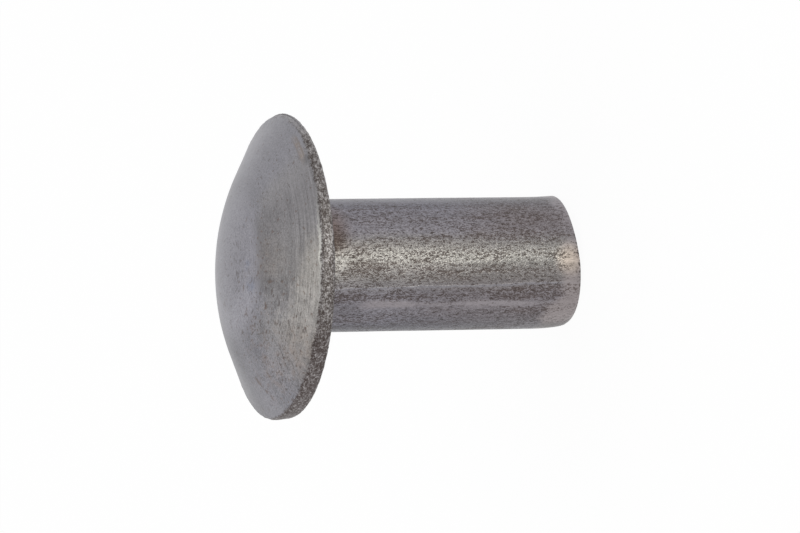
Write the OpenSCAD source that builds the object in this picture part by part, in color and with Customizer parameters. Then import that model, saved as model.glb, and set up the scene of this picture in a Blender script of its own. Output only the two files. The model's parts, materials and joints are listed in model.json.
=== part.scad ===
// Solid steel rivet with a low domed head and a plain round shank.
// Millimetres. +Z runs along the shank axis, from the shank end to the top of the head.
// The origin is the centre of the bearing face, the flat underside of the head.
// The rivet stands on its shank end. The end is cropped from wire, so it is a little
// out of square, and its edge is rolled over most on the -X side.

/* [Shank] */
// Diameter of the shank
shank_d = 6; // [4:0.1:8]
// Length of the shank, from the bearing face to the middle of its end
shank_l = 13; // [8:0.5:40]
// Radius of the fillet where the shank meets the bearing face
root_r = 0.2; // [0.05:0.05:0.4]

/* [Head] */
// Diameter of the head
head_d = 13.7; // [11:0.1:20]
// Height of the upright rim, up to the sharp edge it would have with the flank
rim_h = 0.65; // [0.55:0.05:1.5]
// Diameter of the rounded crown, which is part of a sphere
crown_d = 10.1; // [8:0.1:10.5]
// Slope of the conical flank between crown and rim, in degrees
flank_slope = 28; // [15:1:40]
// Radius of the edge between flank and rim
rim_top_r = 0.33; // [0.1:0.01:0.34]
// Radius of the edge between rim and bearing face
rim_low_r = 0.2; // [0.05:0.01:0.25]

/* [Cropped end] */
// Angle of the shank end out of square, in degrees, with the -X side the longer one
end_slant = 4; // [0:0.5:6]
// Radius of the rolled edge
end_roll_r = 0.75; // [0.3:0.05:1]
// How far the roll is off centre, which leaves the edge nearly sharp on the +X side
end_roll_shift = 0.3; // [0.1:0.05:0.5]

/* [Hidden] */
$fn = 128;
steel = [0.47, 0.46, 0.48];

shank_r = shank_d / 2;
head_r = head_d / 2;
crown_r = crown_d / 2;

// The sphere of the crown and the cone of the flank meet without a corner.
crown_ball_r = crown_r / sin(flank_slope);
crown_h = crown_r * tan(flank_slope / 2);
flank_h = (head_r - crown_r) * tan(flank_slope);
flank_top = rim_h + flank_h;
head_h = flank_top + crown_h;

// The arc between flank and rim touches the rim at the height of its centre and the
// flank at flank_touch.
rim_arc = [
    head_r - rim_top_r,
    rim_h - rim_top_r * (1 / cos(flank_slope) - tan(flank_slope))
];
flank_touch = rim_arc + rim_top_r * [sin(flank_slope), cos(flank_slope)];

// The end is what a shallow cup would hold: its floor is the end face and its rounded
// corner is the rolled edge. Its wall stands just clear of the shank on the -X side.
cup_clearance = 0.03;
cup_r = shank_r + end_roll_shift + cup_clearance;
cup_corner_r = cup_r - end_roll_r;
cup_depth = 2 * end_roll_r;
// Width and height of what is cut away around the cup, enough to take a whole shank
cut_w = shank_d;

// Half section of the head
module head_section() {
    intersection() {
        union() {
            // Body of the head, with both edges of the rim cut straight across
            polygon([
                [0, 0],
                [head_r - rim_low_r, 0],
                [head_r, rim_low_r],
                [head_r, rim_arc[1]],
                flank_touch,
                [crown_r, flank_top],
                [0, flank_top]
            ]);
            // The two edges of the rim
            translate(rim_arc)
                circle(rim_top_r);
            translate([head_r - rim_low_r, rim_low_r])
                circle(rim_low_r);
            crown_section();
        }
        // Right of the axis and above the bearing face
        square(2 * head_r);
    }
}

// Half section of the crown, the cap of its sphere above the flank
module crown_section() {
    intersection() {
        translate([0, head_h - crown_ball_r])
            circle(crown_ball_r);
        translate([0, flank_top])
            square([head_r, head_h]);
    }
}

// Half section of the shank, from inside the head to below the cropped end
module shank_section() {
    translate([0, -shank_l - cut_w / 2])
        square([shank_r, shank_l + cut_w / 2 + rim_h / 2]);
}

// Half section of the fillet under the head
module root_section() {
    difference() {
        translate([shank_r / 2, -root_r])
            square([shank_r / 2 + root_r, root_r + rim_h / 2]);
        translate([shank_r + root_r, -root_r])
            circle(root_r);
    }
}

// Head and shank as they leave the die, longer than the finished shank
module blank() {
    rotate_extrude() {
        head_section();
        shank_section();
        root_section();
    }
}

// Half section of the inside of the cup
module cup_section() {
    square([cup_corner_r, cut_w]);
    translate([0, end_roll_r])
        square([cup_r, cut_w]);
    translate([cup_corner_r, end_roll_r])
        circle(end_roll_r);
}

// What cropping takes off the shank: all round and under the cup, which leans by
// end_slant
module cropped_away() {
    translate([0, 0, -shank_l])
        rotate([0, -end_slant, 0])
            translate([end_roll_shift, 0, 0])
                rotate_extrude()
                    difference() {
                        translate([0, -cut_w])
                            square([cup_r + cut_w, cut_w + cup_depth]);
                        cup_section();
                    }
}

module rivet() {
    color(steel)
        difference() {
            blank();
            cropped_away();
        }
}

rivet();
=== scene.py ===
"""A solid steel rivet with a low domed head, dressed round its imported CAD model.

Run it as a script. It turns the rivet in one piece, gives it its finish, lays a pale
floor under its shank end, and adds the lamps and the camera.
"""

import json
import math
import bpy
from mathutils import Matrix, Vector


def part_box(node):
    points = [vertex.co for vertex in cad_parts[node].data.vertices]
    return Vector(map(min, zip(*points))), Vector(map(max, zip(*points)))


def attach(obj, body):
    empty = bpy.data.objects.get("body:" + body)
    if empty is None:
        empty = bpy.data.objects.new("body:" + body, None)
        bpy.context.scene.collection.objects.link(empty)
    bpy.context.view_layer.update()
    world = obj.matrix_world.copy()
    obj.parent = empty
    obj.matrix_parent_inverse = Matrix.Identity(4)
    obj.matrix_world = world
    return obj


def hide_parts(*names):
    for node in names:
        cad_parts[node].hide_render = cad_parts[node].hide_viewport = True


bl_info = {
    "name": "Low dome head rivet",
    "version": (1, 0, 0),
    "blender": (4, 5, 0),
    "location": "3D View > Sidebar > Rivet",
    "description": "Builds a low dome head rivet with its worn steel finish, and a pale stage",
    "category": "Add Mesh",
}

from types import SimpleNamespace

import bmesh
import bpy
from bpy.props import FloatProperty, FloatVectorProperty, PointerProperty
from mathutils import Matrix, Vector, noise

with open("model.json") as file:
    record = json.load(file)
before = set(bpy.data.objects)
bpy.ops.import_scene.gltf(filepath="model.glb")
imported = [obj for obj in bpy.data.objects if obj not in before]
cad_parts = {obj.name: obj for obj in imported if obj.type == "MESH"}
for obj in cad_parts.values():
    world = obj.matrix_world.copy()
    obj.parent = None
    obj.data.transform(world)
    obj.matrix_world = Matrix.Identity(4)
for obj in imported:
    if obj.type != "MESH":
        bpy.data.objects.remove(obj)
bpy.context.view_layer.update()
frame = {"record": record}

MM = 0.001

# What the frame says of the rivet: its box, and the shank that is one of its mounts
RIVET_LOW, RIVET_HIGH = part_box("rivet")
MOUNTS = {mount["name"]: mount for mount in frame["record"]["mounts"]}
SHANK_R = MOUNTS["shank"]["dims"]["r_mm"] * MM
SHANK_L = -MOUNTS["shank_end"]["pos_m"][2]
HEAD_R = RIVET_HIGH.x
HEAD_H = RIVET_HIGH.z


# ---------------------------------------------------------------------------------------
# What a user would change
# ---------------------------------------------------------------------------------------

def length(name, description, default_mm):
    return FloatProperty(name=name, description=description, default=default_mm * MM,
                         unit="LENGTH", precision=5)


def angle(name, description, default_deg):
    return FloatProperty(name=name, description=description,
                         default=math.radians(default_deg), subtype="ANGLE")


def colour(name, description, default):
    return FloatVectorProperty(name=name, description=description, default=default,
                               subtype="COLOR", min=0, max=1)


def amount(name, description, default):
    return FloatProperty(name=name, description=description, default=default, min=0, max=1,
                         subtype="FACTOR")


class RivetShape(bpy.types.PropertyGroup):
    head_r: length("Head radius", "Half the width of the head", HEAD_R / MM)
    head_h: length("Head height", "Height of the head over its bearing face", HEAD_H / MM)
    crown_r: length("Crown radius", "Half the width of the rounded crown", 5.05)
    flank_slope: angle("Flank slope", "Slope of the conical flank round the crown", 28)
    rim_top_r: length("Upper rim radius", "Radius of the edge between flank and rim", 0.33)
    rim_low_r: length("Lower rim radius", "Radius of the edge under the rim", 0.2)
    root_r: length("Root radius", "Radius of the fillet under the head", 0.2)
    shank_r: length("Shank radius", "Half the width of the shank", SHANK_R / MM)
    shank_l: length("Shank length", "From the bearing face to the end", SHANK_L / MM)
    dome_lean: angle("Dome lean", "How far the die stood out of line, towards +X", 2.14)
    dome_shift: length("Dome shift", "How far the die stood off centre, towards -X", 0.069)
    end_slant: angle("End slant", "How far the cropped end is out of square", 4.4)
    end_edge_r: length("End edge radius", "Radius of the crisp edge of the end", 0.06)
    roll_depth: length("Roll depth", "How far the -X edge of the end is drawn in", 0.19)
    roll_length: length("Roll length", "How far up the shank that edge is drawn in", 1.6)
    lip_depth: length("Lip", "How far the +X edge of the end is drawn out", 0.045)
    lip_length: length("Lip length", "How far up the shank that edge is drawn out", 1.4)
    end_dip: length("End dip", "How far the end is hollow beside the lip", 0.045)
    grain_depth: length("Rim grain depth", "Height of the grains of the rim", 0.014)


class RivetFinish(bpy.types.PropertyGroup):
    dome: colour("Dome", "Satin grey of the crown", (0.282, 0.276, 0.306))
    flank: colour("Flank", "Duller grey of the flank", (0.247, 0.243, 0.267))
    flank_warm: colour("Warm flank", "Neutral grey of its near side", (0.255, 0.247, 0.254))
    stain: colour("Stain", "Brownish grey stain round the crown", (0.194, 0.187, 0.195))
    # Brush-marked flank by the rim, lighter partly as a painted sheen
    brushed_and_sheen: colour("Brushed", "Brushed flank by the rim", (0.300, 0.286, 0.278))
    tan: colour("Tan", "Tan tint of old oil on the flank", (0.280, 0.232, 0.196))
    blue: colour("Blue", "Bluish sheen on the crown", (0.215, 0.238, 0.310))
    scale_dark: colour("Dark scale", "Brown-black scale", (0.056, 0.044, 0.040))
    scale_light: colour("Light grains", "Bare grains of the rim", (0.430, 0.412, 0.418))
    rim_brown: colour("Rim brown", "Reddish scale of the rim", (0.150, 0.100, 0.098))
    shank: colour("Shank", "Purplish grey of the shank", (0.216, 0.205, 0.226))
    shank_scale: colour("Shank scale", "Dark brown scale of the shank", (0.067, 0.0425, 0.0345))
    shank_cool: colour("Cool shank", "Bluish grey of its sides", (0.196, 0.190, 0.222))
    shank_warm: colour("Warm shank", "Brownish grey of its front", (0.221, 0.209, 0.208))
    shank_brown: colour("Brown shank", "Brown bloom on the shank", (0.165, 0.142, 0.142))
    # Paler steel of the rubbed root, also the colour of the painted highlight band in front
    shank_worn_and_highlight: colour("Worn shank", "Paler steel where the shank is rubbed",
                       (0.290, 0.280, 0.272))
    shank_pink: colour("Pink shank", "Smooth pinkish lanes of the shank", (0.285, 0.262, 0.276))
    shank_streak: colour("Streak", "Thin clean line drawn along the shank", (0.250, 0.243, 0.266))
    root_brown: colour("Root brown", "Reddish grey under the head", (0.190, 0.152, 0.148))
    # Colour of the painted highlight on the edge above the rim
    painted_edge_highlight: colour("Edge light", "Bare bright edge above the rim", (0.66, 0.65, 0.62))
    # At the root of the shank this colour also stands for painted shadow under the head
    rust: colour("Rust", "Reddish brown of the root and of stray spots", (0.120, 0.080, 0.062))
    end_tan: colour("End tint", "Pinkish tan of the rolled end", (0.320, 0.284, 0.282))
    end_face: colour("End face", "Dull grey of the cropped end", (0.235, 0.222, 0.228))
    # Colour of the painted highlight on the worn spot of the rolled end
    end_highlight: colour("End glow", "Bright worn spot of the rolled end", (0.430, 0.370, 0.325))
    roughness: amount("Roughness", "Roughness of the satin steel", 0.37)


class RivetStudio(bpy.types.PropertyGroup):
    tilt: angle("Camera elevation", "How far the camera looks down", 19.39)
    roll: angle("Camera roll", "Turn of the camera about its own line of sight", -90.77)
    distance: length("Camera distance", "From the camera to the head", 285.2)
    aim_down: length("Aim", "How far below the bearing face the camera aims", 5.066)
    aim_aside: length("Aim aside", "How far beside the axis the camera aims", 0.017)
    lens: FloatProperty(name="Lens", description="Focal length in millimetres",
                        default=285.7, min=1)
    floor: colour("Floor", "Colour of the floor", (0.98, 0.98, 0.98))
    sky: colour("Surroundings", "Colour of the light from all round", (1.0, 1.0, 1.0))
    sky_strength: FloatProperty(name="Surroundings strength", default=0.88, min=0,
                                description="Brightness of the light from all round")
    lamp: colour("Lamp colour", "Colour of the lamps", (1.0, 1.0, 0.87))
    low_power: FloatProperty(name="Low lamp", default=0.0094, min=0,
                             description="Watts of the small lamp low in front")
    top_power: FloatProperty(name="Top lamp", default=0.010, min=0,
                             description="Watts of the round lamp overhead")


# ---------------------------------------------------------------------------------------
# Shape
# ---------------------------------------------------------------------------------------

# Steps of the turn, and rows of each part of the outline
TURN_STEPS = 512
CROWN_ROWS = 28
FLANK_ROWS = 14
RIM_TOP_ROWS = 8
RIM_ROWS = 10
RIM_LOW_ROWS = 6
UNDER_ROWS = 12
ROOT_ROWS = 4
SHANK_ROWS = 36
TAIL_ROWS = 18
EDGE_ROWS = 4
END_ROWS = 10
WELD = 1e-7
# What a millimetre down the outline counts for beside a turn when points are sorted
ROW_ORDER = 1000

# The unevenness of the steel, in waves per millimetre, and its height off the rim
COARSE_GRAIN = 6.5
FINE_GRAIN = 12.0
LUMP = 2.2
SWELL = 0.55
LUMP_HEIGHT = 0.002 * MM
SWELL_HEIGHT = 0.006 * MM
# How far the grains reach past the rim, up the flank and in under the head
GRAIN_ABOVE = 0.05 * MM
GRAIN_UNDER = 0.6 * MM

# How narrow the lip is round the shank, and how close to the end the slant is taken up
LIP_POWER = 6
SLANT_POWER = 6


class Outline:
    """Draws the half section of a turned shape, from the axis round to the axis.

    Each point keeps the length of the outline up to it, in a layer named run.
    """

    def __init__(self, start):
        self.bm = bmesh.new()
        self.layer = self.bm.verts.layers.float.new("run")
        self.tip = self.bm.verts.new(start)
        self.run = 0.0
        self.marks = {}

    def step(self, vert, distance):
        self.run += distance
        vert[self.layer] = self.run
        self.tip = vert

    def line(self, end, rows):
        start = self.tip.co.copy()
        stride = (Vector(end) - start) / rows
        for row in range(rows):
            made = bmesh.ops.extrude_vert_indiv(self.bm, verts=[self.tip])
            vert = made["verts"][0]
            vert.co = start + stride * (row + 1)
            self.step(vert, stride.length)

    def arc(self, centre, turn, rows):
        radius = (self.tip.co - Vector(centre)).length
        for _ in range(rows):
            made = bmesh.ops.spin(self.bm, geom=[self.tip], cent=centre, axis=(0, 1, 0),
                                  angle=turn / rows, steps=1)
            vert = [v for v in made["geom_last"] if isinstance(v, bmesh.types.BMVert)][0]
            self.step(vert, radius * abs(turn) / rows)

    def mark(self, name):
        self.marks[name] = self.run


def draw_outline(shape):
    """The half section of the rivet, from the top of its crown to the middle of its end."""
    slope = shape.flank_slope
    ball_r = shape.crown_r / math.sin(slope)
    flank_top = shape.head_h - shape.crown_r * math.tan(slope / 2)
    rim_edge_z = flank_top - (shape.head_r - shape.crown_r) * math.tan(slope)
    arc_z = rim_edge_z - shape.rim_top_r * (1 / math.cos(slope) - math.tan(slope))
    arc_x = shape.head_r - shape.rim_top_r
    touch = (arc_x + shape.rim_top_r * math.sin(slope), 0,
             arc_z + shape.rim_top_r * math.cos(slope))
    quarter = math.pi / 2
    tail_z = -shape.shank_l + shape.end_edge_r

    pen = Outline((0, 0, shape.head_h))
    pen.arc((0, 0, shape.head_h - ball_r), slope, CROWN_ROWS)
    pen.line(touch, FLANK_ROWS)
    pen.mark("rim")
    pen.arc((arc_x, 0, arc_z), quarter - slope, RIM_TOP_ROWS)
    pen.mark("band")
    pen.line((shape.head_r, 0, shape.rim_low_r), RIM_ROWS)
    pen.mark("rim_low")
    pen.arc((shape.head_r - shape.rim_low_r, 0, shape.rim_low_r), quarter, RIM_LOW_ROWS)
    pen.mark("under")
    pen.line((shape.shank_r + shape.root_r, 0, 0), UNDER_ROWS)
    pen.mark("root")
    pen.arc((shape.shank_r + shape.root_r, 0, -shape.root_r), -quarter, ROOT_ROWS)
    pen.line((shape.shank_r, 0, tail_z + shape.roll_length), SHANK_ROWS)
    pen.line((shape.shank_r, 0, tail_z), TAIL_ROWS)
    pen.arc((shape.shank_r - shape.end_edge_r, 0, tail_z), quarter, EDGE_ROWS)
    pen.mark("end")
    pen.line((0, 0, -shape.shank_l), END_ROWS)
    return pen


def limit(value):
    """The value, held between 0 and 1."""
    return min(max(value, 0), 1)


def lean_dome(bm, shape, run, marks):
    """Tips and shifts the dome, as a die out of line does. The rim takes up the change."""
    lean = Matrix.Rotation(shape.dome_lean, 4, "Y")
    shift = Vector((-shape.dome_shift, 0, 0))
    for vert in bm.verts:
        share = (marks["rim_low"] - vert[run]) / (marks["rim_low"] - marks["band"])
        vert.co = vert.co.lerp(lean @ vert.co + shift, limit(share))


def shape_end(bm, shape, run, marks):
    """Draws in the edge of the end on the -X side and out on the +X side, and slants it."""
    slope = math.tan(shape.end_slant)
    edge_z = -shape.shank_l + shape.end_edge_r
    for vert in bm.verts:
        if vert[run] < marks["root"]:
            continue
        x, y, z = vert.co
        r = math.hypot(x, y)
        side = (1 - x / max(r, WELD)) / 2 * min(r / shape.shank_r, 1)
        reach = limit(1 - (z - edge_z) / (shape.roll_length * max(side, 0.02)))
        inward = shape.roll_depth * side * (1 - math.sqrt(1 - reach * reach))
        lip = limit(x / shape.shank_r)
        lip_reach = limit(1 - (z - edge_z) / shape.lip_length)
        outward = shape.lip_depth * lip ** LIP_POWER * lip_reach ** 2
        squeeze = 1 + (outward - inward) / shape.shank_r
        dip = shape.end_dip * 4 * lip * (1 - lip)
        drop = (x * slope + dip) * limit(-z / shape.shank_l) ** SLANT_POWER
        vert.co = (x * squeeze, y * squeeze, z + drop)


def roughen(bm, shape, run, marks):
    """Raises the grains of the rim, and leaves the rest of the steel a little uneven."""
    bm.normal_update()
    moves = []
    for vert in bm.verts:
        at = vert.co / MM
        grain = noise.noise(at * COARSE_GRAIN) + 0.6 * noise.noise(at * FINE_GRAIN)
        swell = noise.noise(at * SWELL)
        lump = noise.noise(at * LUMP)
        if marks["rim"] - GRAIN_ABOVE < vert[run] < marks["under"] + GRAIN_UNDER:
            height = shape.grain_depth * (grain + 0.9 * lump)
        else:
            height = SWELL_HEIGHT * swell + LUMP_HEIGHT * lump
        moves.append(vert.normal * height)
    for vert, move in zip(bm.verts, moves):
        vert.co += move


# The bake's map, in parts of its side: a millimetre of steel, the gap between two
# patches, and a row of the rim
MAP_MM = 32 / 1024
MAP_GAP = 8 / 1024
RIM_ROW_W = 1000 / 1024
RIM_ROW_H = 50 / 1024


def wrap(turn, near):
    """The same direction as turn, within half a turn of near."""
    return near + (turn - near + math.pi) % (2 * math.pi) - math.pi


def mean_run(face, run):
    """How far along the outline the middle of a face is."""
    return sum(vert[run] for vert in face.verts) / len(face.verts)


def put_in_order(bm, run):
    """Sorts points and faces down the outline and round it, which spin alone doesn't."""
    def order(along, place):
        return along / MM * ROW_ORDER + math.atan2(place.y, place.x)

    bm.verts.sort(key=lambda vert: order(vert[run], vert.co))
    bm.faces.sort(key=lambda face: order(mean_run(face, run), face.calc_center_median()))


def lay_out(bm, run, marks):
    """Fills the UV map OFBake: three discs, the shank unrolled, and the rim in two rows."""
    def disc(turn, centre, radius):
        return centre + radius / MM * MAP_MM * Vector((math.cos(turn), math.sin(turn)))

    uv = bm.loops.layers.uv.new("OFBake")
    head_size = 2 * marks["rim"] / MM * MAP_MM
    shank_w = 2 * math.pi * SHANK_R / MM * MAP_MM
    dome_at = Vector((MAP_GAP + head_size / 2, MAP_GAP + head_size / 2))
    under_at = dome_at + Vector((head_size + MAP_GAP, 0))
    shank_at = Vector((MAP_GAP, 2 * MAP_GAP + head_size))
    end_size = 2 * SHANK_R / MM * MAP_MM
    end_at = shank_at + Vector((shank_w + 2 * MAP_GAP + end_size / 2, end_size / 2))
    shank_h = (marks["end"] - marks["root"]) / MM * MAP_MM
    rim_at = shank_at + Vector((0, shank_h + MAP_GAP))
    for face in bm.faces:
        middle = face.calc_center_median()
        face_turn = math.atan2(middle.y, middle.x)
        face_run = mean_run(face, run)
        for loop in face.loops:
            vert = loop.vert
            r = math.hypot(vert.co.x, vert.co.y)
            turn = wrap(math.atan2(vert.co.y, vert.co.x), face_turn) if r > WELD else face_turn
            if face_run < marks["rim"]:
                place = disc(turn, dome_at, vert[run])
            elif face_run < marks["under"]:
                row = 0 if face_turn < 0 else 1
                along = turn / math.pi + (1 - row)
                up = (vert[run] - marks["rim"]) / (marks["under"] - marks["rim"])
                place = rim_at + Vector((along * RIM_ROW_W, row * (RIM_ROW_H + MAP_GAP)
                                         + up * RIM_ROW_H))
            elif face_run < marks["root"]:
                place = disc(-turn, under_at, r)
            elif face_run < marks["end"]:
                up = (vert[run] - marks["root"]) / MM * MAP_MM
                place = shank_at + Vector(((turn / math.pi + 1) / 2 * shank_w, up))
            else:
                place = disc(-turn, end_at, r)
            loop[uv].uv = place


def paint_regions(bm, run, marks):
    """Material 0 is the head, 1 is the shank with its end."""
    for face in bm.faces:
        face.smooth = True
        face.material_index = 0 if mean_run(face, run) < marks["root"] else 1


def make_rivet_mesh(shape):
    pen = draw_outline(shape)
    bm = pen.bm
    bmesh.ops.spin(bm, geom=bm.verts[:] + bm.edges[:], cent=(0, 0, 0), axis=(0, 0, 1),
                   angle=2 * math.pi, steps=TURN_STEPS, use_merge=True)
    bmesh.ops.remove_doubles(bm, verts=bm.verts, dist=WELD)
    bmesh.ops.recalc_face_normals(bm, faces=bm.faces)
    run = bm.verts.layers.float["run"]
    put_in_order(bm, run)
    lay_out(bm, run, pen.marks)
    paint_regions(bm, run, pen.marks)
    lean_dome(bm, shape, run, pen.marks)
    shape_end(bm, shape, run, pen.marks)
    roughen(bm, shape, run, pen.marks)
    mesh = bpy.data.meshes.new("rivet_skin")
    bm.to_mesh(mesh)
    bm.free()
    return mesh


# ---------------------------------------------------------------------------------------
# Finish
# ---------------------------------------------------------------------------------------

# Sockets of a Mix node that blends colours
MIX_SHARE, MIX_LOW, MIX_HIGH = 0, 6, 7
MIX_RESULT = 2


class Wire:
    """An output of a node. Sums on wires add Math nodes, so shader maths reads as Python."""

    def __init__(self, finish, socket):
        self.finish = finish
        self.socket = socket

    def maths(self, operation, *values):
        return self.finish.node("Math", {"operation": operation}, dict(enumerate(values)))

    def __add__(self, other):
        return self.maths("ADD", self, other)

    def __sub__(self, other):
        return self.maths("SUBTRACT", self, other)

    def __rsub__(self, other):
        return self.maths("SUBTRACT", other, self)

    def __mul__(self, other):
        return self.maths("MULTIPLY", self, other)

    def __truediv__(self, other):
        return self.maths("DIVIDE", self, other)

    def __pow__(self, other):
        return self.maths("POWER", self, other)

    def __neg__(self):
        return self.maths("MULTIPLY", self, -1)

    __radd__ = __add__
    __rmul__ = __mul__


class Finish:
    """A material whose nodes are added one by one."""

    def __init__(self, name):
        self.material = bpy.data.materials.new(name)
        self.material.use_nodes = True
        self.tree = self.material.node_tree
        self.tree.nodes.clear()

    def node(self, kind, settings=None, sockets=None, output=0):
        """Adds a node: its type, its settings, the values or links of its sockets."""
        made = self.tree.nodes.new("ShaderNode" + kind)
        for name, value in (settings or {}).items():
            setattr(made, name, value)
        for name, value in (sockets or {}).items():
            socket = made.inputs[name]
            if isinstance(value, Wire):
                self.tree.links.new(value.socket, socket)
            elif socket.type == "RGBA":
                socket.default_value = (*value, 1)
            else:
                socket.default_value = value
        return Wire(self, made.outputs[output]) if made.outputs else made

    def axes(self, vector):
        """The three numbers of a vector."""
        split = self.node("SeparateXYZ", sockets={"Vector": vector})
        return [Wire(self, socket) for socket in split.socket.node.outputs]

    def vector(self, x, y, z):
        return self.node("CombineXYZ", sockets={"X": x, "Y": y, "Z": z})

    def noise(self, vector, scale=1.0, detail=2.0, roughness=0.5):
        return self.node("TexNoise", sockets={
            "Vector": vector, "Scale": scale, "Detail": detail, "Roughness": roughness})

    def fade(self, value, start, end):
        """0 at start, 1 at end and beyond, smooth between. start may be the larger one."""
        return self.node("MapRange", {"interpolation_type": "SMOOTHSTEP"}, {
            "Value": value, "From Min": start, "From Max": end})

    def blend(self, share, low, high):
        """A colour that goes from low to high."""
        return self.node("Mix", {"data_type": "RGBA"}, {
            MIX_SHARE: share, MIX_LOW: low, MIX_HIGH: high}, MIX_RESULT)

    def shade(self, tone, factor):
        """A colour made lighter or darker."""
        return self.node("VectorMath", {"operation": "SCALE"}, {"Vector": tone, "Scale": factor})

    def lane(self, value, middle, half_width, soft):
        """1 where value is within half_width of middle, with soft edges."""
        off = self.node("Math", {"operation": "ABSOLUTE"}, {0: value - middle})
        return self.fade(off, half_width * (1 + soft), half_width * (1 - soft))

    def spot(self, place, centre, radius, soft=0.5):
        """1 within radius of centre, fading out past it."""
        off = self.node("VectorMath", {"operation": "DISTANCE"}, {0: place, 1: centre}, "Value")
        return self.fade(off, radius * (1 + soft), radius * (1 - soft))

    def spots(self, place, rows, soft=0.5):
        """The sum of spots, each given as its centre, its radius and its share."""
        return sum(self.spot(place, centre, radius, soft) * share
                   for centre, radius, share in rows)

    def bump(self, height, distance):
        return self.node("Bump", sockets={"Height": height, "Distance": distance})

    def surface(self, tone, roughness, normal, metallic):
        shader = self.node("BsdfPrincipled", sockets={
            "Base Color": tone, "Roughness": roughness, "Normal": normal,
            "Metallic": metallic})
        self.node("OutputMaterial", sockets={"Surface": shader})
        return self.material


def in_mm(finish, turn=(0, 0, 0), shift=(0, 0, 0)):
    """Object coordinates in millimetres, turned and moved."""
    place = finish.node("TexCoord", output="Object")
    return finish.node("Mapping", sockets={
        "Vector": place, "Scale": (1 / MM,) * 3, "Rotation": turn, "Location": shift})


def towards(x, y, turn):
    """How far x and y reach in the direction turn, in degrees from -Y round to +X."""
    turn = math.radians(turn)
    return x * math.sin(turn) - y * math.cos(turn)


def head_places(finish, shape):
    """Where a point of the head lies: as it stands, and from the axis of the leaning dome."""
    lean = Matrix.Rotation(-shape.dome_lean, 3, "Y")
    back = lean @ Vector((shape.dome_shift / MM, 0, 0))
    dome = in_mm(finish, (0, -shape.dome_lean, 0), back)
    x, y, z = finish.axes(dome)
    r = (x * x + y * y) ** 0.5
    return SimpleNamespace(place=in_mm(finish), dome=dome, x=x, y=y, z=z, r=r,
                           round_x=x / r, round_y=y / r)


def head_noise(finish, at):
    """The turning lines, fine across and long around, and the clouds and specks."""
    def turned(across, around):
        lined = finish.vector(at.r * across, at.round_x * around, at.round_y * around)
        return finish.noise(lined, 1.0, 2.0, 0.6)

    dashed = finish.vector(at.r * 9, at.x * 2.6, at.y * 2.6)
    return SimpleNamespace(
        brush=turned(15, 3.0),
        brush_wide=turned(4, 1.6),
        fine_line=turned(24, 0.7),
        dash=finish.noise(dashed, 1.0, 2.0, 0.55),
        cloud=finish.noise(at.dome, 0.38, 3.0, 0.55),
        mottle=finish.noise(at.dome, 2.4, 3.0, 0.6),
        speckle=finish.noise(at.dome, 13.0, 2.0, 0.6),
        blotch=finish.noise(at.dome, 1.0, 2.0, 0.5))


def head_zones(finish, at, steel):
    """Zones from the crown outwards. The near side is stained most and brush-marked by the rim,
    where it is partly a painted sheen.
    """
    zone = at.r + (steel.cloud - 0.5) * 1.2 + (steel.mottle - 0.5) * 0.6
    crown_edge = at.r + (steel.cloud - 0.5) * 0.5 + (steel.mottle - 0.5) * 1.0
    crown_edge = crown_edge + (steel.speckle - 0.5) * 1.3
    near = finish.fade(towards(at.round_x, at.round_y, 9.8), 0.80, 0.97)
    aside = finish.fade(at.round_y, -0.5, 0.15)
    outer = finish.fade(zone, 4.0, 5.4)
    by_rim = finish.fade(zone - at.x * 0.4 + (steel.brush - 0.5) * 1.5, 5.1, 6.3)
    return SimpleNamespace(
        outer=outer,
        by_rim=by_rim,
        off_crown=finish.fade(crown_edge, 2.8, 3.5) * (1 - aside * 0.75),
        brushed_and_sheen=by_rim * finish.fade(at.round_y, -0.68, -0.9) * finish.fade(at.x, 2.4, 0.6),
        front=finish.fade(at.round_y, -0.5, -0.72) * finish.fade(zone, 3.3, 4.2),
        stained=near * (1 - outer * finish.fade(at.x, 0.5, 1.8) * 0.45),
        left_half=finish.fade(at.x, 0.6, -1.2))


def colour_zones(finish, at, zones, look):
    """Colours of the crown, the flank, its stain and its brush-marked stretch by the rim, which
    is partly a painted sheen.
    """
    tone = finish.blend(zones.front * 0.8, look.flank, look.flank_warm)
    # The near outer flank and the brush-marked stretch are made lighter, partly as a painted
    # sheen
    near_outer_sheen = zones.outer * finish.fade(at.round_y, -0.3, -0.6)
    tone = finish.shade(tone, 1 + near_outer_sheen * 0.08)
    tone = finish.blend(zones.stained, tone, look.stain)
    tone = finish.blend(zones.off_crown, look.dome, tone)
    tone = finish.blend(zones.brushed_and_sheen * 0.9, tone, look.brushed_and_sheen)
    return finish.shade(tone, 1 + zones.brushed_and_sheen * finish.fade(at.x, 0, -1.6) * 0.18)


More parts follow.
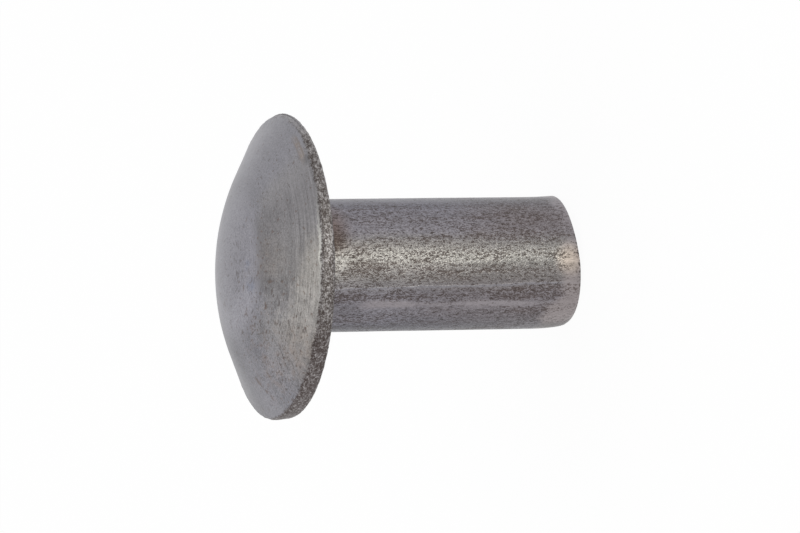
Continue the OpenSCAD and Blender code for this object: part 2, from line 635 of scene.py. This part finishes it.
def shade_sides(finish, at, zones, tone):
    """Darker and brighter stretches round the dome. The darker far left side and back are painted
    shade.
    """
    x, r, round_x, round_y = at.x, at.r, at.round_x, at.round_y
    crown_rise = finish.lane(r, 2.5, 0.5, 0.6) * (1 - zones.off_crown)
    crown_rise = crown_rise * finish.fade(x, 0.2, -1.4)
    # Painted shade on the far left side of the dome
    far_left_shade = finish.fade(towards(round_x, round_y, -115), 0.80, 0.97)
    near_left = finish.fade(towards(round_x, round_y, -55), 0.80, 0.97)
    near_left = near_left * (finish.lane(r, 2.6, 1.0, 0.4) + finish.lane(r, 5.7, 0.7, 0.4))
    front = finish.fade(round_y, 0, -0.3)
    left_strip = finish.lane(round_x, -0.62, 0.30, 0.3) * front * finish.lane(r, 3.1, 0.7, 0.4)
    right_strip = finish.lane(round_x, 0.34, 0.16, 0.3) * front * finish.lane(r, 4.4, 0.5, 0.4)
    # Painted shade on the back of the dome
    back_shade = finish.fade(round_y, 0.35, 0.75) * finish.fade(r, 3.4, 4.6) * (1 - far_left_shade)
    dull_left = finish.spot(at.dome, (-3.8, -0.7, 2.1), 1.5, 0.7)
    # Two turning lines that catch the light
    arcs = finish.lane(r + x * 0.07, 5.52, 0.035, 0.5) * finish.lane(x, 0.3, 1.6, 0.4)
    arcs = arcs + finish.lane(r, 6.62, 0.04, 0.5) * finish.lane(x, 3.2, 1.4, 0.4)
    for factor in (1 + crown_rise * 0.12 - far_left_shade * finish.fade(r, 3.0, 4.0) * 0.24,
                   1.01 + near_left * 0.06 + left_strip * 0.05,
                   1 + right_strip * 0.10,
                   1 - back_shade * 0.14,
                   1 - dull_left * 0.08,
                   1 + arcs * finish.fade(at.y, 0, -2) * 0.14):
        tone = finish.shade(tone, factor)
    return tone


# The patch of old oil on the +X side, which also holds thin rusty lines
OILY_AT = (5.3, -3.8, 0.8)


def oil_and_tarnish(finish, at, steel, look, tone):
    """Tan patches of old oil, and two bluish spots on the crown."""
    patchy = finish.fade(steel.mottle, 0.35, 0.65)
    oil = finish.lane(at.r, 6.5, 0.12, 0.6) * finish.spot(at.dome, OILY_AT, 0.9) * 1.4
    oil = oil + finish.spots(at.dome, (((-3.8, -5.1, 0.9), 1.3, 0.8),
                                       ((-4.7, -2.8, 1.4), 0.9, 0.5),
                                       ((0.35, -3.9, 2.1), 0.9, 0.35)))
    tone = finish.blend(oil * (0.35 + patchy * 0.65) * 0.5, tone, look.tan)
    grime = finish.spot(at.dome, (4.78, -4.67, 0.74), 0.25, 0.7)
    tone = finish.shade(tone, 1 - grime * 0.3)
    lines = finish.lane(at.r, 6.38, 0.03, 0.6) + finish.lane(at.r, 6.58, 0.03, 0.6)
    lines = lines * finish.spot(at.dome, OILY_AT, 0.8, 0.4)
    lines = lines * finish.fade(steel.speckle, 0.4, 0.5)
    tone = finish.blend(lines * 0.3, tone, look.rust)
    tarnish = finish.spots(at.dome, (((0.04, -2.25, 2.6), 0.20, 1),
                                     ((-0.89, -2.50, 2.5), 0.30, 1)), 0.8)
    return finish.blend(tarnish * (0.2 + patchy * 0.45), tone, look.blue)


def scratches(finish, place, turn, pitch, length, bar):
    """Short thin marks that all run one way, where noise drawn out that way is high."""
    turned = finish.node("Mapping", sockets={
        "Vector": place, "Rotation": (0, 0, math.radians(turn)),
        "Scale": (1 / length, 1 / pitch, 0.3)})
    return finish.fade(finish.noise(turned, 1.0, 1.0, 0.4), bar, bar + 0.04)


def pits_and_scratches(finish, at, steel, zones, look, tone):
    """Pits and scratches that hold dark scale, one long scratch, and stray rust."""
    pitted = finish.spots(at.dome, (((0, -0.9, 2.8), 1.2, 0.07),
                                    ((-2.6, -3.3, 1.9), 2.6, 0.04)))
    pit = steel.dash + (steel.speckle - 0.5) * 0.4 + (steel.mottle - 0.5) * 0.35 + pitted
    pit = finish.fade(pit, 0.64, 0.72)
    tone = finish.blend(pit * (0.32 + zones.off_crown * 0.18 + pitted * 4), tone,
                        look.scale_dark)
    crossed = scratches(finish, at.dome, 52, 0.10, 1.1, 0.69)
    crossed = crossed + scratches(finish, at.dome, -35, 0.09, 0.9, 0.71)
    most = finish.spot(at.dome, (-3.4, -3.6, 1.6), 1.5)
    tone = finish.blend(crossed * (0.10 + most * 0.45), tone, look.scale_dark)

    row = towards(at.x, at.y, 43.3) + (steel.mottle - 0.5) * 0.7
    row = finish.lane(row, -2.85, 0.11, 0.7) * finish.fade(steel.mottle, 0.40, 0.56)
    row = row * finish.spot(at.dome, (-5.3, -1.1, 1.4), 0.85, 0.3)
    brown = finish.spot(at.dome, (-4.2, -2.6, 1.5), 2.4, 0.4)
    brown = brown * finish.fade(steel.mottle, 0.50, 0.66)
    tone = finish.blend(row * 0.48 + brown * 0.28, tone, look.rust)
    rust = finish.noise(at.dome, 5.0, 2.0, 0.5)
    rust = rust + zones.left_half * 0.035 + zones.off_crown * 0.015
    rust = rust + finish.spot(at.dome, (0.5, -3.4, 2.2), 1.0) * 0.05
    return finish.blend(finish.fade(rust, 0.665, 0.72) * 0.5, tone, look.rust)


def dome_texture(finish, at, steel, zones):
    """How much lighter or darker each speck of the dome is."""
    turned = finish.fade(at.r, 4.6, 5.5) * finish.fade(at.round_y, -0.60, -0.88)
    specks = (steel.speckle - 0.5) * (1.15 + zones.off_crown * 0.35)
    specks = specks + (steel.dash - 0.5) * 0.5
    specks = specks * (1 - turned * 0.2 - zones.stained * zones.off_crown * 0.1)
    lines = (steel.brush - 0.5) * (0.10 + turned * 0.55)
    lines = lines + (steel.fine_line - 0.5) * turned * 0.9
    wear = 0.62 + finish.fade(at.x, 3.8, 1.2) * 0.38
    rough_left = zones.left_half * zones.off_crown
    soft = (steel.brush_wide - 0.5) * 0.25 + (steel.cloud - 0.5) * 0.2
    soft = soft + (steel.mottle - 0.5) * (0.2 + rough_left * 0.8)
    soft = soft + (steel.blotch - 0.5) * rough_left * 0.5
    return 1 + (specks + lines) * wear + soft


def rim_grain(finish, at, look):
    """Colour and height of the salt and pepper grains of the rim, darkest on the -X side."""
    x = at.x
    along = finish.node("Mapping", sockets={"Vector": at.place, "Scale": (0.82, 0.60, 1.05)})
    cluster = finish.noise(at.place, 1.1, 2.0, 0.5)
    grain = finish.noise(along, 8.5, 3.0, 0.65) * 0.56
    grain = grain + finish.noise(along, 19.0, 2.0, 0.6) * 0.44
    bare = grain + (cluster - 0.5) * 0.12 + finish.fade(x, -6, -1) * 0.03
    bare = bare + finish.fade(x, 5.4, 6.4) * 0.05 - finish.lane(x, -3.6, 1.2, 0.4) * 0.02
    bare = bare + (grain - 0.5) * finish.fade(x, -1, -4) * 0.35
    share = finish.fade(bare, 0.40, 0.74)
    tone = finish.blend(share ** 1.2, look.scale_dark, look.scale_light)
    tone = finish.blend(finish.fade(x, -1, -6) * 0.14, tone, look.rim_brown)
    return tone, grain


def head_finish(look, shape):
    finish = Finish("head_steel")
    at = head_places(finish, shape)
    steel = head_noise(finish, at)
    zones = head_zones(finish, at, steel)
    tone = colour_zones(finish, at, zones, look)
    tone = shade_sides(finish, at, zones, tone)
    tone = oil_and_tarnish(finish, at, steel, look, tone)
    tone = pits_and_scratches(finish, at, steel, zones, look, tone)
    tone = finish.shade(tone, dome_texture(finish, at, steel, zones))

    # The grainy rim begins along a ragged line, with a painted highlight on the edge above it,
    # brightest at the glint
    grain_tone, grain = rim_grain(finish, at, look)
    wander = finish.noise(at.place, 1.1, 3.0, 0.6) - 0.5
    rim_line = at.z + wander * 0.20 + (grain - 0.5) * 0.34
    on_rim = finish.fade(rim_line, 0.70, 0.62) * (1 - finish.fade(at.x, 5.6, 6.6) * 0.55)
    edge_line = at.z + wander * 0.16 + (grain - 0.5) * 0.16
    edge = finish.fade(edge_line, 0.76, 0.72) * (1 - on_rim)
    edge = edge * finish.lane(at.x, 0.9, 2.1, 0.5) * finish.fade(at.y, -2, -4)
    glint = finish.spot(at.place, (0.9, -6.7, 0.7), 0.8, 0.8)
    tone = finish.blend(edge * (0.30 + glint * 0.5), tone, look.painted_edge_highlight)
    # A painted highlight on the grains in front of the rim, in line with the highlight of the
    # shank
    lit = finish.spot(at.place, (0.6, -6.8, 0.3), 1.5, 0.6) * finish.fade(grain, 0.48, 0.6)
    tone = finish.blend(on_rim, tone, finish.shade(grain_tone, 1.04 + lit * 0.30))

    roughness = look.roughness + on_rim * 0.12 + (steel.mottle - 0.5) * 0.12
    off_rim = (steel.brush * zones.by_rim * 0.5 + steel.speckle * 0.5) * (1 - on_rim)
    normal = finish.bump(grain * on_rim * 5.0 + off_rim, 0.012 * MM)
    return finish.surface(tone, roughness, normal, 1.0 - on_rim * 0.3)


def shank_places(finish):
    """Where a point of the shank lies. Lanes along it follow lane, which wanders."""
    place = in_mm(finish)
    x, y, z = finish.axes(place)
    # Degrees round the shank, from 0 at -Y to 90 at +X
    turn = finish.node("Math", {"operation": "ARCTAN2"}, {0: x, 1: -y}) * (180 / math.pi)
    wave = finish.noise(finish.vector(x, y, z * 0.25), 1.5, 2.0, 0.5) - 0.5
    ripple = finish.noise(finish.vector(x * 3, y * 3, z * 0.9), 1.0, 2.0, 0.6) - 0.5
    return SimpleNamespace(place=place, x=x, y=y, z=z, turn=turn, wave=wave, ripple=ripple,
                           lane=turn + ripple * 4 + wave * 3)


def shank_noise(finish, at):
    """Patches, flecks and drawn-out smears. The smaller the draw, the longer they are."""
    def drawn_out(draw, scale, detail, roughness):
        return finish.noise(finish.vector(at.x, at.y, at.z * draw), scale, detail, roughness)

    fleck = drawn_out(0.42, 10.5, 4.0, 0.78)
    fine = drawn_out(0.52, 24.0, 2.0, 0.6)
    return SimpleNamespace(
        fleck=fleck, fine=fine, grain=fleck * 0.55 + fine * 0.45,
        patches=drawn_out(0.35, 1.1, 3.0, 0.6),
        drawn=drawn_out(0.06, 2.2, 2.0, 0.6),
        smear=drawn_out(0.13, 5.0, 2.0, 0.6))


def shank_lanes(finish, at):
    """Lanes along the shank, mostly left by drawing the wire. The band in front is the lane of
    the painted highlight.
    """
    turn, z, wave, lane = at.turn, at.z, at.wave, at.lane
    # The streaks run a little aslant, a quarter of a degree in each millimetre
    slanted = lane + (z + 6.95) * 0.25
    pale_reach = finish.fade(z, -2.0, -3.0) * 0.3 + finish.lane(z, -3.9, 1.1, 0.5)
    pale_reach = pale_reach + finish.lane(z, -9.1, 1.5, 0.5) * 0.75
    pale_line = finish.lane(lane + wave * 3, -37.0, 1.5, 0.6) * finish.fade(z, -4.2, -5.4)
    pale_lane = finish.lane(lane + wave * 6, -37.3, 3.6, 0.6)
    return SimpleNamespace(
        light_streak=finish.lane(slanted, -19.1, 1.0, 0.4),
        dark_streak=finish.lane(slanted, -25.9, 5.2, 0.2),
        pale_streak=pale_lane * pale_reach + pale_line * 0.55,
        band=finish.lane(turn + wave * 10, 6.6, 6.2, 0.8),
        smooth_right=finish.lane(lane, 88, 20, 0.3),
        warm=finish.lane(turn + wave * 10, 2, 22, 0.35),
        cool=(1 - finish.lane(turn, 0, 52, 0.25)) * finish.fade(z, -11, -6),
        brown_end=finish.lane(lane, 42, 16, 0.6) * finish.fade(z, -6.5, -10.5),
        brown_left=finish.lane(lane, -38, 26, 0.5) * finish.fade(z, -3.0, -9.0))


def shank_patches(finish, at):
    """The end, polished by the cropping tool, with a painted highlight on it, and the patches
    under the head, partly rust and partly painted shadow.
    """
    x, y, z, place = at.x, at.y, at.z, at.place
    end_reach = z + at.wave * 0.8 + at.ripple * 0.6 - finish.fade(x, -1.2, -2.3) * 0.6
    end_reach = end_reach + finish.lane(at.turn, 36, 16, 0.5) * 0.45
    return SimpleNamespace(
        tail=finish.fade(end_reach, -11.95, -12.5),
        near_tail=finish.fade(x, 1.4, 0.5) * finish.fade(y, 1.0, -0.5),
        # A painted highlight on the worn spot by the end
        end_highlight_spot=finish.spot(place, (0.15, -2.95, -12.5), 0.55, 0.7),
        # Rust under the head that is also painted shadow, and painted shadow in the corner under
        # the head
        root_rust_and_shadow=finish.spot(place, (1.40, -2.65, -1.15), 0.76, 0.7),
        root_corner_shadow=finish.spot(place, (1.15, -2.77, -1.25), 0.45, 0.7),
        pink_root=finish.spot(place, (2.1, -2.14, -1.25), 0.8, 0.6),
        pale_root=finish.spot(place, (-0.25, -3.0, -1.2), 0.5, 0.6),
        dark_patch=finish.spots(place, (((-0.3, -3.0, -3.2), 0.6, 1),
                                        ((0.2, -3.0, -2.4), 0.5, 1)), 0.7),
        # 1 on the wall of the shank and 0 on its end face, where the lanes stop
        wall=finish.fade((x * x + y * y) ** 0.5, 2.50, 2.66))


def dark_scale(finish, steel, lanes, patches, bare, z):
    """Flecks of dark scale, fewer where the steel is bare."""
    density = (steel.patches - 0.5) * 0.18 + (steel.drawn - 0.5) * 0.25
    density = density + lanes.band * 0.02 - bare * 0.12 + lanes.brown_end * 0.05
    density = density + lanes.dark_streak * (0.06 + finish.fade(z, -6.0, -8.0) * 0.035)
    density = density + patches.dark_patch * 0.06 + patches.root_corner_shadow * 0.12
    rough = steel.fleck + (steel.fine - 0.5) * 0.8 + (steel.smear - 0.5) * 0.3
    rough = rough + (1 - patches.wall) * 0.06
    return finish.fade(rough - density, 0.48, 0.40)


# Duller stretches along the shank, or brighter ones where the share is below 0: the turn
# and half width in degrees, the heights where the stretch starts and is full, the share
DULL_STRETCHES = (
    (-57, 6, -5.5, -4.0, -0.13),
    (-69, 6, -11.0, -9.5, 0.12),
    (72, 9, -6.0, -9.0, 0.13),
    (46, 16, -12.1, -12.4, -0.24),
    (-42, 9, -3.2, -2.4, 0.15),
)


def dimmed_lanes(finish, at, lanes, patches):
    """How much darker each lane of the shank is: duller lanes of steel, painted shade at both
    sides of the shank, and painted shade beside the highlight band.
    """
    turn, z, wave, lane = at.turn, at.z, at.wave, at.lane
    drawn = finish.lane(lane, 47, 3, 0.6) + finish.lane(lane, 60, 3, 0.6)
    # Painted shade at both sides of the shank, most on the -X side
    sides = finish.lane(turn, -72, 20, 0.5) * 0.34 + finish.lane(turn, 72, 14, 0.5) * 0.16
    by_streak = finish.lane(lane, -11.5, 5.5, 0.6) * finish.fade(z, -4.5, -7)
    # Painted shade on both sides of the highlight band, which keeps it narrow
    right_of_band = finish.lane(turn + wave * 6, 19.5, 6.5, 0.6)
    left_of_band = finish.lane(turn + wave * 4, -1.5, 4.0, 0.6) * finish.fade(z, -6.5, -8.5)
    left_of_band = left_of_band * finish.fade(z, -12.2, -11.4)
    middle = finish.lane(turn, -31, 12, 0.4) * finish.lane(z, -6.8, 2.2, 0.4)
    dimmed = drawn * 0.08 + sides + patches.dark_patch * 0.15 + by_streak * 0.14
    dimmed = dimmed + right_of_band * 0.13 + left_of_band * 0.22 + lanes.band * 0.07 + middle * 0.10
    for centre, half_width, start, full, share in DULL_STRETCHES:
        stretch = finish.lane(turn, centre, half_width, 0.5) * finish.fade(z, start, full)
        dimmed = dimmed + stretch * share
    return dimmed


def colour_lanes(finish, at, steel, lanes, patches, look):
    """Colours of the lanes, from the wide ones to the thin ones laid over them."""
    tone = finish.blend(lanes.cool, look.shank, look.shank_cool)
    tone = finish.blend(lanes.warm, tone, look.shank_warm)
    # The band in front is paler, partly rubbed steel and partly a painted highlight
    rubbed_and_highlit = lanes.band * (0.45 + finish.fade(at.z, -2.0, -9.0) * 0.5)
    tone = finish.blend(rubbed_and_highlit, tone, look.shank_worn_and_highlight)
    dimmed = dimmed_lanes(finish, at, lanes, patches)
    tone = finish.shade(tone, 1 - dimmed + lanes.light_streak * 0.2)
    bloom = lanes.brown_end * 0.55 + lanes.brown_left * 0.4
    bloom = bloom + finish.fade(steel.patches, 0.55, 0.7) * 0.25
    tone = finish.blend(bloom, tone, look.shank_brown)
    tone = finish.blend(lanes.pale_streak * 0.75, tone, look.shank_pink)
    return finish.blend(lanes.light_streak * 0.6, tone, look.shank_streak)


def colour_ends(finish, at, steel, patches, look, tone):
    """Colours of the root with its painted shadow, of the polished stretch by the end with its
    painted highlight, and of its edge.
    """
    polished = finish.blend(patches.near_tail, look.shank_pink, look.end_tan)
    # The painted highlight on the worn spot by the end
    end_highlight_tone = finish.shade(look.end_highlight, 0.58 + steel.smear * 0.98)
    for share, colour_over in ((patches.pale_root * 0.35, look.shank_worn_and_highlight),
                               (patches.tail * 0.75, polished),
                               (patches.end_highlight_spot, end_highlight_tone),
                               (patches.pink_root * 0.6, look.root_brown),
                               (patches.root_rust_and_shadow * 0.62, look.rust)):
        tone = finish.blend(share, tone, colour_over)
    # Painted shadow in the corner under the head
    tone = finish.shade(tone, 1 - patches.root_corner_shadow * 0.3)
    left_roll = finish.lane(at.turn, -80, 14, 0.4) * finish.fade(at.z, -11.2, -12.2)
    sharp_edge = finish.fade(at.z - at.x * 0.077, -12.84, -12.91)
    sharp_edge = sharp_edge * finish.lane(at.turn, 4, 22, 0.4)
    sharp_edge = sharp_edge * finish.fade(steel.fleck, 0.58, 0.42)
    return finish.shade(tone, 1 - left_roll * 0.55 - sharp_edge * 0.7)


def end_face(finish, at, steel, look):
    """The dull face of the end, with the lines of the shear across it."""
    shear = finish.noise(finish.vector(at.x * 0.5, at.y * 5.0, at.z), 1.5, 3.0, 0.6)
    torn = 0.85 + steel.patches * 0.2 + (shear - 0.5) * 0.5
    return finish.shade(look.end_face, torn)


def shank_finish(look):
    finish = Finish("shank_steel")
    at = shank_places(finish)
    steel = shank_noise(finish, at)
    lanes = shank_lanes(finish, at)
    patches = shank_patches(finish, at)
    bare = lanes.smooth_right * 0.8 + lanes.light_streak * 0.55 + lanes.pale_streak * 0.7
    bare = finish.node("Clamp", sockets={"Value": bare + patches.tail * 0.75})
    dark = dark_scale(finish, steel, lanes, patches, bare, at.z)

    tone = colour_lanes(finish, at, steel, lanes, patches, look)
    tone = colour_ends(finish, at, steel, patches, look, tone)
    tone = finish.blend(patches.wall, end_face(finish, at, steel, look), tone)
    tone = finish.blend(dark * 0.66, tone, look.shank_scale)
    # The grains show more in the highlight band, as painted glints
    contrast = 3.4 + lanes.band * 1.5 + finish.fade(at.turn, -40, -60) * 1.6 - bare * 2.4
    tone = finish.shade(tone, 1 + (steel.grain - 0.5) * contrast)

    roughness = look.roughness - 0.03 + dark * 0.15 + (steel.patches - 0.5) * 0.1
    height = steel.grain * (3.0 - bare * 2.0) + lanes.light_streak * 1.5
    normal = finish.bump(height, 0.010 * MM)
    return finish.surface(tone, roughness, normal, 1.0 - dark * 0.3)


# ---------------------------------------------------------------------------------------
# Operators
# ---------------------------------------------------------------------------------------

FLOOR_HALF = 3.0
# How much of the white of the floor is its own. The rest is lit, and takes the shadow.
FLOOR_GLOW = 0.95

# The low lamp stands in front of the shank, turned a little to +X
LOW_LAMP_SIZE = (5 * MM, 2 * MM)
LOW_LAMP_AT = Vector((0, -60, -11.5)) * MM
LOW_LAMP_TURN = math.radians(14)
LOW_LAMP_AIM = Vector((0, 0, -6)) * MM

# The top lamp hangs over the head, tipped a little to the back
TOP_LAMP_SIZE = 50 * MM
TOP_LAMP_AT = Vector((10, 0, 200)) * MM
TOP_LAMP_TIP = math.radians(-14.6)
TOP_LAMP_AIM = Vector((0, 0, 0))


class RIVET_OT_make_rivet(bpy.types.Operator):
    """Turn the rivet in one piece and give it its steel finish"""

    bl_idname = "rivet.make_rivet"
    bl_label = "Make rivet"
    bl_options = {"REGISTER", "UNDO"}

    def execute(self, context):
        shape = context.scene.rivet_shape
        look = context.scene.rivet_finish
        skin = bpy.data.objects.new("rivet_skin", make_rivet_mesh(shape))
        context.collection.objects.link(skin)
        skin.data.materials.append(head_finish(look, shape))
        skin.data.materials.append(shank_finish(look))
        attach(skin, "root")
        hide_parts("rivet")
        return {"FINISHED"}


class RIVET_OT_make_stage(bpy.types.Operator):
    """Lay the floor and set the lamps and the camera"""

    bl_idname = "rivet.make_stage"
    bl_label = "Make stage"
    bl_options = {"REGISTER", "UNDO"}

    def execute(self, context):
        studio = context.scene.rivet_studio
        self.lay_floor(context, studio)
        self.light_surroundings(context, studio)
        self.hang_lamps(context, studio)
        self.set_camera(context, studio)
        context.scene.view_settings.view_transform = "Standard"
        return {"FINISHED"}

    def lay_floor(self, context, studio):
        bm = bmesh.new()
        bmesh.ops.create_grid(bm, x_segments=1, y_segments=1, size=FLOOR_HALF)
        bmesh.ops.translate(bm, verts=bm.verts, vec=(0, 0, RIVET_LOW.z))
        mesh = bpy.data.meshes.new("floor")
        bm.to_mesh(mesh)
        bm.free()
        floor = bpy.data.objects.new("floor", mesh)
        context.collection.objects.link(floor)
        mesh.materials.append(self.floor_finish(studio))

    def floor_finish(self, studio):
        finish = Finish("floor")
        matt = finish.node("BsdfDiffuse", sockets={"Color": studio.floor})
        white = finish.node("Emission", sockets={"Color": (1, 1, 1), "Strength": 1.0})
        rays = finish.node("LightPath")
        outputs = rays.socket.node.outputs
        seen = finish.node("Math", {"operation": "MAXIMUM"}, {
            0: Wire(finish, outputs["Is Camera Ray"]),
            1: Wire(finish, outputs["Is Glossy Ray"])})
        top = finish.node("MixShader", sockets={0: seen * FLOOR_GLOW, 1: matt, 2: white})
        # Seen from below, the floor is open, so that the underside of the rivet shows
        from_below = finish.node("NewGeometry", output="Backfacing")
        below = finish.node("BsdfTransparent")
        shown = finish.node("MixShader", sockets={0: from_below, 1: top, 2: below})
        finish.node("OutputMaterial", sockets={"Surface": shown})
        return finish.material

    def light_surroundings(self, context, studio):
        world = bpy.data.worlds.new("surroundings")
        world.use_nodes = True
        around = world.node_tree.nodes["Background"]
        around.inputs["Color"].default_value = (*studio.sky, 1)
        # White where the camera looks past the floor, and no brighter on the rivet
        rays = world.node_tree.nodes.new("ShaderNodeLightPath")
        strength = world.node_tree.nodes.new("ShaderNodeMapRange")
        strength.inputs["To Min"].default_value = studio.sky_strength
        strength.inputs["To Max"].default_value = 1.0
        links = world.node_tree.links
        links.new(rays.outputs["Is Camera Ray"], strength.inputs["Value"])
        links.new(strength.outputs["Result"], around.inputs["Strength"])
        context.scene.world = world

    def hang_lamps(self, context, studio):
        low = bpy.data.lights.new("low_lamp", "AREA")
        low.shape = "RECTANGLE"
        low.size, low.size_y = LOW_LAMP_SIZE
        low.energy = studio.low_power
        at = Matrix.Rotation(LOW_LAMP_TURN, 4, "Z") @ LOW_LAMP_AT
        self.hang(context, studio, low, at, LOW_LAMP_AIM)
        top = bpy.data.lights.new("top_lamp", "AREA")
        top.shape = "DISK"
        top.size = TOP_LAMP_SIZE
        top.energy = studio.top_power
        at = Matrix.Rotation(TOP_LAMP_TIP, 4, "X") @ TOP_LAMP_AT
        self.hang(context, studio, top, at, TOP_LAMP_AIM)

    def hang(self, context, studio, light, at, aim):
        light.color = studio.lamp
        lamp = bpy.data.objects.new(light.name, light)
        lamp.location = at
        lamp.rotation_mode = "QUATERNION"
        lamp.rotation_quaternion = (aim - at).to_track_quat("-Z", "Y")
        lamp.visible_camera = False
        context.collection.objects.link(lamp)

    def set_camera(self, context, studio):
        """A camera on the -Y side that looks a little down, rolled so that the rivet lies
        across the view with its head to the left."""
        camera = bpy.data.cameras.new("camera")
        camera.lens = studio.lens
        camera.clip_start = 0.01
        camera.clip_end = 10
        upright = Matrix.Rotation(math.pi / 2 - studio.tilt, 4, "X")
        turned = upright @ Matrix.Rotation(studio.roll, 4, "Z")
        place = Vector((studio.aim_down, -studio.aim_aside, studio.distance))
        holder = bpy.data.objects.new("camera", camera)
        holder.matrix_world = turned @ Matrix.Translation(place)
        context.collection.objects.link(holder)
        context.scene.camera = holder


class RIVET_PT_panel(bpy.types.Panel):
    """Sizes, finish and stage of the rivet"""

    bl_idname = "RIVET_PT_panel"
    bl_label = "Rivet"
    bl_space_type = "VIEW_3D"
    bl_region_type = "UI"
    bl_category = "Rivet"

    def draw(self, context):
        for group in ("rivet_shape", "rivet_finish", "rivet_studio"):
            values = getattr(context.scene, group)
            box = self.layout.box()
            for name in values.__annotations__:
                box.prop(values, name)
        self.layout.operator("rivet.make_rivet")
        self.layout.operator("rivet.make_stage")


CLASSES = (RivetShape, RivetFinish, RivetStudio, RIVET_OT_make_rivet, RIVET_OT_make_stage,
           RIVET_PT_panel)


def register():
    for cls in CLASSES:
        bpy.utils.register_class(cls)
    bpy.types.Scene.rivet_shape = PointerProperty(type=RivetShape)
    bpy.types.Scene.rivet_finish = PointerProperty(type=RivetFinish)
    bpy.types.Scene.rivet_studio = PointerProperty(type=RivetStudio)


def unregister():
    del bpy.types.Scene.rivet_studio
    del bpy.types.Scene.rivet_finish
    del bpy.types.Scene.rivet_shape
    for cls in reversed(CLASSES):
        bpy.utils.unregister_class(cls)


def main():
    register()
    bpy.ops.rivet.make_rivet()
    bpy.ops.rivet.make_stage()


if __name__ == "__main__":
    main()
